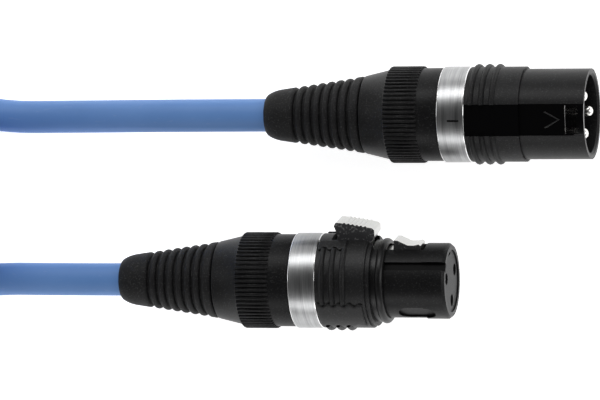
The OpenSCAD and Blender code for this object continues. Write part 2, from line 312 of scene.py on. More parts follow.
@dataclass(frozen=True)
class BrushedRing:
    """Aluminium brushed round a ring that lies along X, with bright turned edges."""

    name: str
    rear: float
    front: float
    colour: Colour = (0.33, 0.333, 0.336)

    def paint(self) -> Finish:
        """Returns the material."""
        p = Paint(self.name)
        lines = p.noise(1.0, 3.0, p.stretched((9000.0, 60.0, 60.0)))
        broad = p.noise(1.0, 2.0, p.stretched((1500.0, 130.0, 130.0)))
        rim = (p.x - self.rear).over(0.00022, 0.00006)
        rim = rim * (self.front - p.x).over(0.00022, 0.00006)
        dark = tuple(c * 0.42 for c in self.colour)
        light = tuple(min(1.0, c * 1.6) for c in self.colour)
        body = p.blend((lines * 0.6 + broad * 0.4 - 0.5) * 1.7 + 0.5, dark, light)
        body = p.blend(rim, (0.86, 0.86, 0.86), body)
        rough = lines * 0.2 + broad * 0.1 + 0.13
        return p.finish(
            Base_Color=body, Metallic=1.0, Roughness=rough * rim + 0.06,
            Normal=p.bump(lines, 0.000012),
        )


@dataclass(frozen=True)
class Plated:
    """Plated or turned metal, with fine machining rings across the axis."""

    name: str
    colour: Colour
    roughness: float

    def paint(self) -> Finish:
        """Returns the material."""
        p = Paint(self.name)
        rings = p.noise(1.0, 2.0, p.stretched((7000.0, 90.0, 90.0)))
        cloud = p.noise(420.0, 3.0)
        dark = tuple(c * 0.8 for c in self.colour)
        body = p.blend(cloud * 0.5 + rings * 0.3, self.colour, dark)
        rough = rings * 0.12 + cloud * 0.1 + (self.roughness - 0.1)
        return p.finish(
            Base_Color=body, Metallic=1.0, Roughness=rough, Normal=p.bump(rings, 0.000005),
        )


@dataclass(frozen=True)
class LatchPlating:
    """Satin nickel on a casting whose two rough flanks carry painted shade: their dark reflection,
    painted into their colour with painted glints.

    Attributes:
        across: unit vector across the latch, which its flanks face.
    """

    name: str
    across: Colour
    silver: Colour = (0.74, 0.74, 0.72)
    # painted shade: the dark reflection on the flanks, painted as their colour
    flank_painted_shade: Colour = (0.022, 0.022, 0.024)

    def paint(self) -> Finish:
        """Returns the material."""
        p = Paint(self.name)
        facing = p.node("ShaderNodeTexCoord", out="Normal")
        dot = {"operation": "DOT_PRODUCT"}
        side = p.node("ShaderNodeVectorMath", dot, {0: facing, 1: self.across}, "Value")
        side = abs(side).over(0.82, 0.05)
        cast = p.noise(1900.0, 4.0)
        pits = p.noise(5200.0, 2.0)
        # painted glints: light mottle painted over the flanks' painted shade
        flank_painted_glint = cast.over(0.6, 0.04) * 0.6
        dark = p.blend(flank_painted_glint, self.flank_painted_shade, (0.2, 0.2, 0.2))
        top = p.blend(pits * 0.5, self.silver, tuple(c * 0.78 for c in self.silver))
        rough = side * (cast * 0.3 + 0.22) + pits * 0.14 + 0.26
        return p.finish(
            Base_Color=p.blend(side, top, dark), Metallic=1.0 - side * 0.85, Roughness=rough,
            Normal=p.bump(cast * side + pits * 0.2, 0.00003),
        )


@dataclass(frozen=True)
class Jacket:
    """Smooth satin PVC, with the faint waviness of an extruded cable."""

    name: str
    deep: Colour
    light: Colour

    def paint(self) -> Finish:
        """Returns the material."""
        p = Paint(self.name)
        cloud = p.noise(95.0, 4.0)
        wave = p.noise(210.0, 2.0)
        fine = p.noise(6500.0, 2.0)
        scuff = p.noise(1.0, 3.0, p.stretched((420.0, 1500.0, 900.0))).over(0.68, 0.04)
        body = p.blend(cloud, self.deep, self.light)
        body = p.blend(scuff * 0.14, body, (0.3, 0.38, 0.55))
        rough = cloud * 0.1 + fine * 0.06 + scuff * 0.12 + 0.4
        return p.finish(
            Base_Color=body, Roughness=rough, Specular_IOR_Level=0.22,
            Normal=p.bump(wave * 0.85 + fine * 0.15, 0.000022),
        )


@dataclass(frozen=True)
class Webbing:
    """Woven tape; the weave follows the tape through its UV map.

    Attributes:
        length: metres for one unit of U.
        width: metres for one unit of V.
        thread: metres between threads.
    """

    name: str
    length: float
    width: float
    thread: float = 0.00055
    dark: Colour = (0.008, 0.008, 0.009)
    light: Colour = (0.034, 0.034, 0.037)

    def paint(self) -> Finish:
        """Returns the material."""
        p = Paint(self.name)
        uv = p.node("ShaderNodeTexCoord", out="UV")
        warp = (p.part(uv, 0) * (math.tau * self.length / self.thread)).sine()
        weft = (p.part(uv, 1) * (math.tau * self.width / self.thread)).sine()
        weave = warp * weft * 0.5 + 0.5
        fuzz = p.noise(3800.0, 4.0)
        body = p.blend(weave * 0.6 + fuzz * 0.4, self.dark, self.light)
        return p.finish(
            Base_Color=body, Roughness=fuzz * 0.1 + 0.82, Specular_IOR_Level=0.2,
            Normal=p.bump(weave * 0.7 + fuzz * 0.3, 0.00016),
        )


@dataclass(frozen=True)
class CoreColours:
    """Coloured insulation, one colour for each wire by its place round the axis."""

    name: str
    centre: tuple[float, float]

    def paint(self) -> Finish:
        """Returns the material."""
        p = Paint(self.name)
        upper = (p.z - self.centre[1]).over(0.0, 0.0001)
        right = (p.y - self.centre[0]).over(0.0, 0.0001)
        fine = p.noise(4200.0, 2.0)
        body = p.blend(right, (0.42, 0.03, 0.03), (0.62, 0.61, 0.58))
        body = p.blend(upper, (0.5, 0.33, 0.12), body)
        return p.finish(
            Base_Color=body, Roughness=fine * 0.1 + 0.35, Normal=p.bump(fine, 0.00001)
        )


@dataclass(frozen=True)
class PaleFloor:
    """A clean pale table top with a faint, fine tooth."""

    name: str
    colour: Colour = (0.93, 0.93, 0.93)

    def paint(self) -> Finish:
        """Returns the material."""
        p = Paint(self.name)
        tooth = p.noise(900.0, 2.0)
        body = p.blend(p.noise(4.0, 2.0) * 0.25, self.colour, tuple(c * 0.97 for c in self.colour))
        return p.finish(
            Base_Color=body, Roughness=tooth * 0.05 + 0.72, Specular_IOR_Level=0.2,
            Emission_Color=(1.0, 1.0, 1.0, 1.0), Emission_Strength=0.86,
        )


# ---------- geometry helpers ----------


def linked(name: str, data: bpy.types.ID) -> Piece:
    """Puts data in the scene at the origin.

    Args:
        name: the new object's name.
        data: its mesh, curve, light or camera.

    Returns:
        The new object.
    """
    piece = bpy.data.objects.new(name, data)
    bpy.context.scene.collection.objects.link(piece)
    return piece


def mesh_piece(name: str, bm: Shape, finish: Finish, smooth: bool = True) -> Piece:
    """Turns a mesh in world metres into a piece.

    Args:
        name: the piece's name.
        bm: the mesh, which is freed.
        finish: its finish.
        smooth: whether its faces are shaded smooth.

    Returns:
        The new object, linked and at the origin.
    """
    bmesh.ops.recalc_face_normals(bm, faces=bm.faces)
    mesh = bpy.data.meshes.new(name)
    bm.to_mesh(mesh)
    bm.free()
    for polygon in mesh.polygons:
        polygon.use_smooth = smooth
    if smooth:
        mesh.set_sharp_from_angle(angle=math.radians(SHARP))
    mesh.materials.append(finish)
    return linked(name, mesh)


def grown(
    name: str,
    tree: bpy.types.NodeTree,
    values: dict[str, Any],
    place: Matrix,
    base: bpy.types.Mesh | None = None,
) -> Piece:
    """Runs a geometry tree once and keeps its result as a plain mesh.

    Args:
        name: the piece's name.
        tree: the geometry tree.
        values: the tree's inputs by name.
        place: matrix from the tree's frame to the world.
        base: a mesh that the tree starts from.

    Returns:
        The new object, with its place in its mesh.
    """
    seed = linked(name + "_seed", base or bpy.data.meshes.new(name + "_seed"))
    modifier = seed.modifiers.new("grow", "NODES")
    modifier.node_group = tree
    for item in tree.interface.items_tree:
        if item.item_type == "SOCKET" and item.in_out == "INPUT" and item.name in values:
            modifier[item.identifier] = values[item.name]
    graph = bpy.context.evaluated_depsgraph_get()
    mesh = bpy.data.meshes.new_from_object(seed.evaluated_get(graph))
    seed.modifiers.remove(modifier)
    bpy.data.objects.remove(seed)
    mesh.name = name
    mesh.transform(place)
    return linked(name, mesh)


def geometry_tree(
    name: str, inputs: dict[str, str], build: Callable[[Graph, dict[str, Wire]], Wire]
) -> bpy.types.NodeTree:
    """Makes a geometry tree with named inputs.

    Args:
        name: the tree's name.
        inputs: socket types by input name, each without its common start.
        build: makes the nodes and returns the wire that holds the geometry.

    Returns:
        The tree, which ends in Realize Instances and Set Material.
    """
    tree = bpy.data.node_groups.new(name, "GeometryNodeTree")
    tree.interface.new_socket("Geometry", in_out="INPUT", socket_type="NodeSocketGeometry")
    for label, kind in inputs.items():
        tree.interface.new_socket(label, in_out="INPUT", socket_type=f"NodeSocket{kind}")
    tree.interface.new_socket("Geometry", in_out="OUTPUT", socket_type="NodeSocketGeometry")
    graph = Graph(tree)
    source = tree.nodes.new("NodeGroupInput")
    wires = {s.name: Wire(graph, s) for s in source.outputs if s.name}
    made = build(graph, wires)
    made = graph.node("GeometryNodeRealizeInstances", None, {0: made})
    made = graph.node("GeometryNodeSetShadeSmooth", None, {0: made})
    made = graph.node("GeometryNodeSetMaterial", None, {0: made, "Material": wires["Finish"]})
    graph.node("NodeGroupOutput", None, {0: made})
    return tree


def smooth_path(points: Sequence[Vector], step: float) -> list[Vector]:
    """Runs one smooth curve through points and samples it evenly.

    Args:
        points: the points it passes through.
        step: metres between samples.

    Returns:
        The samples, both ends included.
    """
    ends = [points[0] * 2 - points[1], *points, points[-1] * 2 - points[-2]]
    dense: list[Vector] = []
    for a, b, c, d in zip(ends, ends[1:], ends[2:], ends[3:]):
        for i in range(SPAN_STEPS):
            t = i / SPAN_STEPS
            dense.append(
                0.5 * (2 * b + (c - a) * t + (2 * a - 5 * b + 4 * c - d) * t * t
                       + (3 * b - a - 3 * c + d) * t ** 3)
            )
    dense.append(points[-1].copy())
    total = [0.0]
    for a, b in zip(dense, dense[1:]):
        total.append(total[-1] + (b - a).length)
    count = max(2, round(total[-1] / step))
    samples = []
    at = 0
    for i in range(count + 1):
        goal = total[-1] * i / count
        while at < len(total) - 2 and total[at + 1] < goal:
            at += 1
        span = total[at + 1] - total[at]
        samples.append(dense[at].lerp(dense[at + 1], (goal - total[at]) / span if span else 0.0))
    return samples


def path_length(points: Sequence[Vector]) -> float:
    """Returns the length of a run of points in metres."""
    return sum((b - a).length for a, b in zip(points, points[1:]))


def stadium(r: float, low: float, high: float, along: float) -> tuple[float, ...]:
    """Follows an upright loop with round ends, starting up its outer side.

    Args:
        r: radius of its ends.
        low: height where its sides start.
        high: height where its sides end.
        along: distance from the start.

    Returns:
        A place and its outward normal, each as a distance outwards and a height.
    """
    straight, half = high - low, math.pi * r
    s = along % (2 * (straight + half))
    if s < straight:
        return r, low + s, 1.0, 0.0
    if s < straight + half:
        turn, centre = (s - straight) / r, high
    elif s < 2 * straight + half:
        return -r, high - (s - straight - half), -1.0, 0.0
    else:
        turn, centre = math.pi + (s - 2 * straight - half) / r, low
    out, up = math.cos(turn), math.sin(turn)
    return out * r, centre + up * r, out, up


# ---------- the two connectors' own frames ----------


@dataclass(frozen=True)
class Seat:
    """Where a connector lies: its own Z runs along its axis and X to its key or latch.

    Attributes:
        mouth: world X of the boot's mouth.
        side: world Y of the axis.
        roll: degrees that the connector is turned about its axis.
        height: world Z of the axis.
    """

    mouth: float
    side: float
    roll: float
    height: float = 10.6 * MM

    @property
    def key(self) -> Vector:
        """Unit vector from the axis to the key or latch."""
        return Vector((0.0, math.sin(math.radians(self.roll)), -math.cos(math.radians(self.roll))))

    @property
    def across(self) -> Vector:
        """Unit vector across the key."""
        return Vector((0.0, math.cos(math.radians(self.roll)), math.sin(math.radians(self.roll))))

    @property
    def matrix(self) -> Matrix:
        """Matrix from the connector's own frame to the world."""
        k, a = self.key, self.across
        return Matrix((
            (k.x, a.x, 1.0, self.mouth), (k.y, a.y, 0.0, self.side),
            (k.z, a.z, 0.0, self.height), (0.0, 0.0, 0.0, 1.0),
        ))

    def point(self, radius: float, angle: float, along: float) -> Vector:
        """A world point from the connector's own cylindrical place.

        Args:
            radius: millimetres from the axis.
            angle: degrees from the key.
            along: millimetres from the boot's mouth.

        Returns:
            The point in metres.
        """
        turn = math.radians(angle)
        local = Vector((radius * math.cos(turn), radius * math.sin(turn), along)) * MM
        return self.matrix @ local


MALE_SEAT = Seat(-19.0 * MM, 17.5 * MM, 189.0)
FEMALE_SEAT = Seat(-51.0 * MM, -17.5 * MM, 104.0)
SEATS = {"male": MALE_SEAT, "female": FEMALE_SEAT}


def stitch(bm: Shape, one: Ring, two: Ring) -> list[bmesh.types.BMFace]:
    """Joins two closed rings of vertices with a band of faces."""
    quads = zip(one, [*one[1:], one[0]], [*two[1:], two[0]], two)
    return [bm.faces.new(quad) for quad in quads]


def skin_plate(seat: Seat, rows: Sequence[Place], low: float, high: float) -> Shape:
    """A raised plate on a round surface, with a rounded edge.

    Args:
        seat: the connector that it is on.
        rows: for each station along the axis, its place and its first and last angle.
        low: radius of the plate's foot in millimetres.
        high: radius of its face in millimetres.

    Returns:
        The plate as a closed mesh in world metres.
    """
    bm = bmesh.new()
    cells = 14
    inset = 0.14
    last = len(rows) - 1

    def sheet_of(radius: float, rim: float) -> list[Ring]:
        """Lays one sheet of vertices.

        Args:
            radius: the sheet's radius in millimetres.
            rim: the radius of its outermost vertices.

        Returns:
            Its rows of vertices.
        """
        sheet = []
        for n, (along, first, final) in enumerate(rows):
            line = []
            for i in range(cells + 1):
                edge = i in (0, cells) or n in (0, last)
                angle = first + (final - first) * i / cells
                line.append(bm.verts.new(seat.point(rim if edge else radius, angle, along)))
            sheet.append(line)
        return sheet

    grid = sheet_of(high, high - inset)
    foot = sheet_of(low, low)
    for sheet in (grid, foot):
        for one, two in zip(sheet, sheet[1:]):
            for i in range(cells):
                bm.faces.new((one[i], one[i + 1], two[i + 1], two[i]))
    for i in range(cells):
        bm.faces.new((grid[0][i], foot[0][i], foot[0][i + 1], grid[0][i + 1]))
        bm.faces.new((grid[last][i], grid[last][i + 1], foot[last][i + 1], foot[last][i]))
    for one, two, three, four in zip(grid, grid[1:], foot, foot[1:]):
        bm.faces.new((one[0], two[0], four[0], three[0]))
        bm.faces.new((one[cells], three[cells], four[cells], two[cells]))
    return bm


def lathe(seat: Seat, outline: Sequence[tuple[float, float]], sides: int = 144) -> Shape:
    """Turns a closed outline round a connector's axis.

    Args:
        seat: the connector.
        outline: radius and place along the axis of each corner, in millimetres.
        sides: steps round the axis.

    Returns:
        The turned shape as a closed mesh in world metres.
    """
    bm = bmesh.new()
    rings = [
        [bm.verts.new(seat.point(radius, 360.0 * i / sides, along)) for radius, along in outline]
        for i in range(sides)
    ]
    for one, two in zip(rings, rings[1:] + rings[:1]):
        stitch(bm, one, two)
    return bm


# ---------- sub-assemblies ----------


BOOT_NOSE = (
    (3.8, 0.0), (4.1, 0.08), (4.42, 0.35), (4.72, 0.85), (4.96, 1.35), (5.17, 1.9),
    (5.34, 2.5), (5.45, 3.0),
)
BOOT_TAIL = ((5.4, 21.6), (5.4, 22.9), (6.2, 22.9), (6.2, 24.0), (3.8, 24.0))
COLLAR = (
    (5.6, 21.7), (8.1, 21.7), (8.22, 21.76), (8.28, 21.9), (9.52, 27.1), (9.7, 27.25),
    (9.84, 27.4), (9.86, 34.3), (9.82, 34.42), (9.8, 34.55), (9.8, 38.55),
    (9.7, 38.7), (8.5, 38.7), (8.5, 32.6), (7.6, 32.4), (6.4, 22.8), (5.6, 22.8),
)
RING_SPAN = (38.8, 44.7)
RING_EDGE = ((8.52, 0.0), (9.86, 0.0), (10.0, 0.05), (10.08, 0.14), (10.1, 0.25))


@dataclass
class RearParts:
    """The turned parts that both connectors share: boot, collar and marking ring.

    Attributes:
        side: the connector's name.
        seat: its place.
        boot_end: the boot's front end in millimetres from its mouth.
        taper: where the boot's nose becomes its cone.
        cone: the cone's radius at its rear and at its front.
        grooves: number of flex grooves.
        first: place of the first groove.
        pitch: distance between grooves.
        depth: depth of a groove.
        bed: half the width of a groove's flat bed.
        flare: distance over which a groove rises to its crest.
    """

    side: str
    seat: Seat
    boot_end: float = 21.6
    taper: float = 3.4
    cone: tuple[float, float] = (5.5, 8.2)
    grooves: int = 7
    first: float = 7.0
    pitch: float = 2.0
    depth: float = 0.85
    bed: float = 0.22
    flare: float = 0.72

    def groove(self, away: float) -> float:
        """Returns a groove's depth at a distance from its middle; crests are round."""
        t = min(1.0, max(0.0, (abs(away) - self.bed) / self.flare))
        return self.depth * (1.0 - math.sqrt(max(0.0, 1.0 - (1.0 - t) ** 2)) if t < 1.0 else 0.0)

    def boot(self, finish: Finish) -> None:
        """Builds the soft boot with its row of rounded flex ribs.

        Args:
            finish: the boot's finish.
        """
        line = list(BOOT_NOSE)
        steps = 190
        rear, front = self.cone
        places = [self.first + self.pitch * n for n in range(self.grooves)]
        places.append(self.boot_end + 0.1)
        for i in range(steps + 1):
            along = self.taper + (self.boot_end - self.taper) * i / steps
            cut = max(self.groove(along - place) for place in places)
            line.append((rear + (front - rear) * i / steps - cut, along))
        line += BOOT_TAIL
        piece = mesh_piece(f"{self.side}_boot_skin", lathe(self.seat, line), finish)
        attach(piece, f"{self.side}_boot_slider")
        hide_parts(f"{self.side}_boot")
        LOG.info("%s: %d flex ribs", piece.name, self.grooves)

    def collar(self, finish: Finish) -> None:
        """Builds the screw collar; its ridges are a separate piece.

        Args:
            finish: the collar's finish.
        """
        piece = mesh_piece(f"{self.side}_collar_skin", lathe(self.seat, COLLAR), finish)
        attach(piece, f"{self.side}_collar_nut")
        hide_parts(f"{self.side}_collar")
        LOG.info("%s: turned", piece.name)

    def marking_ring(self, finish: Finish) -> None:
        """Builds the metal ring with turned edges.

        Args:
            finish: the brushed metal.
        """
        rear, front = RING_SPAN
        line = [(radius, rear + inset) for radius, inset in RING_EDGE]
        line += [(radius, front - inset) for radius, inset in reversed(RING_EDGE)]
        piece = mesh_piece(f"{self.side}_marking_band", lathe(self.seat, line, 180), finish)
        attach(piece, "cable")
        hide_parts(f"{self.side}_marking_ring")
        LOG.info("%s: turned", piece.name)


@dataclass
class Knurl:
    """The straight rounded ridges round a collar's grip band.

    Attributes:
        count: number of ridges.
        rear: rear end of the band in millimetres from the boot's mouth.
        front: front end of the band.
        radius: distance of a ridge's centre line from the axis in millimetres.
        ridge: radius of one ridge in millimetres.
    """

    count: int = 66
    rear: float = 27.25
    front: float = 34.45
    radius: float = 9.86
    ridge: float = 0.36

    def tree(self) -> bpy.types.NodeTree:
        """Returns the geometry tree: a ring of points with a round-ended bar on each."""
        def build(g: Graph, given: dict[str, Wire]) -> Wire:
            """Makes the ring of bars."""
            bar = g.node("GeometryNodeMeshCylinder", {"fill_type": "NGON"},
                         {"Vertices": 10, "Radius": given["Ridge"], "Depth": given["Length"]})
            tip = g.add("GeometryNodeMeshUVSphere", Segments=10, Rings=6, Radius=given["Ridge"])
            tips = []
            for sign in (-0.5, 0.5):
                offset = g.add("ShaderNodeCombineXYZ", Z=given["Length"] * sign)
                tips.append(g.add("GeometryNodeTransform", Geometry=tip, Translation=offset))
            joined = g.tree.nodes.new("GeometryNodeJoinGeometry")
            for wire in (bar, *tips):
                g.tree.links.new(wire.socket, joined.inputs[0])
            ring = g.add("GeometryNodeMeshCircle", Vertices=given["Count"], Radius=given["Radius"])
            bars = Wire(g, joined.outputs[0])
            return g.add("GeometryNodeInstanceOnPoints", Points=ring, Instance=bars)

        kinds = {"Count": "Int", "Radius": "Float", "Length": "Float", "Ridge": "Float",
                 "Finish": "Material"}
        return geometry_tree("knurl", kinds, build)

    def build(self, name: str, seat: Seat, body: str, finish: Finish) -> None:
        """Grows the ridges on one collar.

        Args:
            name: the piece's name.
            seat: the connector's place.
            body: the body that the collar is.
            finish: the collar's finish.
        """
        middle = Matrix.Translation((0.0, 0.0, (self.rear + self.front) / 2 * MM))
        length = (self.front - self.rear - 2 * self.ridge) * MM
        values = {"Count": self.count, "Radius": self.radius * MM, "Length": length,
                  "Ridge": self.ridge * MM, "Finish": finish}
        piece = grown(name, self.tree(), values, seat.matrix @ middle)
        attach(piece, body)
        LOG.info("%s: %d ridges", name, self.count)


@dataclass
class MaleDetails:
    """The small marks on the male connector: an arrow by the window and an index mark.

    Attributes:
        floor: distance of the flat strip from the axis in millimetres.
        raised: the arrow's height over the strip.
        apex: the arrow's tip along the axis.
        sweep: the arrow's length.
        half: half its width.
        stroke: width of its arms along the axis.
    """

    seat: Seat = MALE_SEAT
    floor: float = 8.79
    raised: float = 0.13
    apex: float = 64.9
    sweep: float = 3.1
    half: float = 1.75
    stroke: float = 0.28

    def arrow(self, finish: Finish) -> None:
        """Builds the raised arrowhead on the flat strip.

        Args:
            finish: the shell's finish.
        """
        outline = [
            (self.apex, 0.0), (self.apex - self.sweep, self.half),
            (self.apex - self.sweep - self.stroke, self.half - 0.1),
            (self.apex - 1.5 * self.stroke, 0.0),
            (self.apex - self.sweep - self.stroke, 0.1 - self.half),
            (self.apex - self.sweep, -self.half),
        ]
        bm = bmesh.new()
        rings = []
        for lift, shrink in ((-0.2, 0.0), (self.raised - 0.04, 0.0), (self.raised, 0.04)):
            ring = []
            for along, across in outline:
                place = Vector((self.floor + lift, across * (1 - shrink), along - shrink)) * MM
                ring.append(bm.verts.new(self.seat.matrix @ place))
            rings.append(ring)
        for low, high in zip(rings, rings[1:]):
            stitch(bm, low, high)
        for ring in (rings[0], rings[-1]):
            bm.faces.new((ring[0], ring[1], ring[2], ring[3]))
            bm.faces.new((ring[0], ring[3], ring[4], ring[5]))
        piece = mesh_piece("male_arrow", bm, finish, smooth=False)
        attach(piece, "cable")
        LOG.info("male_arrow: raised arrowhead")

    def slot(self, finish: Finish) -> None:
        """Builds the narrow dark mark on the marking ring, in line with the key.

        Args:
            finish: the mark's finish.
        """
        rows = [(along, -1.4, 1.4) for along in (41.0, 41.2, 42.4, 43.6, 43.8)]
        piece = mesh_piece("male_ring_mark", skin_plate(self.seat, rows, 9.9, 10.13), finish)
        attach(piece, "cable")
        LOG.info("male_ring_mark: in line with the key")


@dataclass
class FemaleDetails:
    """The raised panels with wavy edges between the female grip's groups of ribs.

    Attributes:
        seat: the connector's place.
        rear: the panels' rear end in millimetres from the boot's mouth.
        low: radius of their foot.
        high: radius of their face.
        waves: distance from wave to wave.
        shift: distance from the rear end to the first crest.
        depth: degrees that a wave swings to each side.
        fade: distance over which the waves die out at the front.
    """

    seat: Seat = FEMALE_SEAT
    rear: float = 44.95
    low: float = 9.85
    high: float = 10.42
    waves: float = 2.25
    shift: float = 1.35
    depth: float = 2.2
    fade: float = 1.2

    def panel(
        self,
        name: str,
        span: tuple[float, float],
        front: float,
        wavy: tuple[bool, bool],
        finish: Finish,
    ) -> None:
        """Builds one panel.

        Args:
            name: the piece's name.
            span: its first and last angle from the latch.
            front: its front end in millimetres from the boot's mouth.
            wavy: whether its first and its last side are wavy.
            finish: the grip's finish.
        """
        rows = []
        count = 48
        for i in range(count + 1):
            along = self.rear + (front - self.rear) * i / count
            swing = self.depth * math.cos(math.tau * (along - self.rear - self.shift) / self.waves)
            swing *= min(1.0, (front - along) / self.fade)
            first = span[0] + (swing if wavy[0] else 0.0)
            last = span[1] - (swing if wavy[1] else 0.0)
            rows.append((along, first, last))
        piece = mesh_piece(name, skin_plate(self.seat, rows, self.low, self.high), finish)
        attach(piece, "cable")
        LOG.info("%s: raised panel", name)


PANELS = (
    ("far", (-34.5, -19.5), 50.9, (True, False)),
    ("near", (19.5, 34.5), 50.9, (False, True)),
    ("under", (-143.5, -105.5), 54.7, (True, True)),
    ("side", (105.5, 143.5), 54.7, (True, True)),
)


@dataclass
class Coil:
    """The whole cable: out of the male boot, round its coil, and into the female boot.

    Attributes:
        diameter: the jacket's diameter in metres.
        centre: world X of the coil's centre.
        radius: radius of the coil to the middle of its bundle.
        half_width: how far strands' centres go in and out from that radius.
        half_height: how far they go up and down.
        turns: turns that the coil makes.
        start: degrees round the coil where the male lead joins it.
        strands: places round the bundle.
        lift: how far the strap lifts the bundle.
        ease: degrees round the coil over which that lift dies out.
        male_lead: points from the male boot to the coil, in millimetres.
        female_lead: points from the female boot to the coil, in millimetres.
    """

    diameter: float = 7.0 * MM
    centre: float = -122.0 * MM
    radius: float = 33.7 * MM
    half_width: float = 4.34 * MM
    half_height: float = 9.45 * MM
    turns: float = 5.755
    start: float = 44.5
    strands: int = 6
    lift: float = 1.25 * MM
    ease: float = 15.0
    male_lead: Sequence[Place] = (
        (9, 17.5, 10.6), (-5, 17.5, 10.6), (-19, 17.5, 10.6), (-26, 17.5, 10.6),
        (-33, 17.5, 10.5), (-40, 17.5, 10), (-47, 17.5, 8.8), (-54, 17.5, 7.1), (-61, 17.5, 5.4),
        (-68, 17.5, 4.1), (-73, 17.5, 3.6), (-77, 17.6, 3.5), (-82, 18.1, 3.5), (-87, 19.3, 3.6),
        (-91.5, 21.4, 3.9),
    )
    female_lead: Sequence[Place] = (
        (-23, -17.5, 10.6), (-37, -17.5, 10.6), (-51, -17.5, 10.6), (-58, -17.5, 10.6),
        (-64, -17.5, 10.4), (-70, -17.5, 9.8), (-76, -17.5, 8.9), (-81, -17.8, 8.1),
        (-86, -18.9, 7.3), (-90.5, -20.8, 6.7),
    )

    def section(self, share: float) -> tuple[float, float]:
        """A strand's place in the bundle's section.

        Args:
            share: how far round the section it is, from 0 to 1, starting low on the outside
                and going in along the floor.

        Returns:
            Its distance outwards from the bundle's middle and its height, in metres.
        """
        quarter = math.pi * self.half_width / 2
        middle = self.diameter / 2 + self.half_height
        reach = self.half_height - self.half_width
        along = -quarter / 2 - share * 4 * (quarter + reach)
        return stadium(self.half_width, middle - reach, middle + reach, along)[:2]

    def route(self) -> list[Vector]:
        """Returns the points that the cable passes through, in metres."""
        points = [Vector(p) * MM for p in self.male_lead]
        steps = round(self.turns * TURN_STEPS)
        for i in range(steps + 1):
            turn = self.turns * i / steps
            out, height = self.section(turn / self.strands)
            angle = math.radians(self.start) + math.tau * turn
            off = math.degrees(angle) % 360.0 - 180.0
            height += self.lift * math.exp(-((off / self.ease) ** 2))
            reach = self.radius + out
            points.append(Vector((
                self.centre + reach * math.cos(angle), reach * math.sin(angle), height,
            )))
        points += [Vector(p) * MM for p in reversed(self.female_lead)]
        return points

    def build(self, finish: Finish, riders: Sequence[Piece]) -> None:
        """Makes the cable as one curve with a round section.

        Args:
            finish: the jacket's finish.
            riders: separate pieces on the cable; not used.
        """
        samples = smooth_path(self.route(), 2.0 * MM)
        data = bpy.data.curves.new("cable_jacket", "CURVE")
        data.dimensions = "3D"
        data.bevel_depth = self.diameter / 2
        data.bevel_resolution = 6
        data.use_fill_caps = True
        line = data.splines.new("POLY")
        line.points.add(len(samples) - 1)
        for point, place in zip(line.points, samples):
            point.co = (*place, 1.0)
        line.use_smooth = True
        data.materials.append(finish)
        piece = linked("cable_jacket", data)
        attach(piece, "cable")
        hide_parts("cord_male_lead", "cord_female_lead", "cord_coil")
        length = path_length(samples)
        LOG.info("cable_jacket: %.3f m", length)


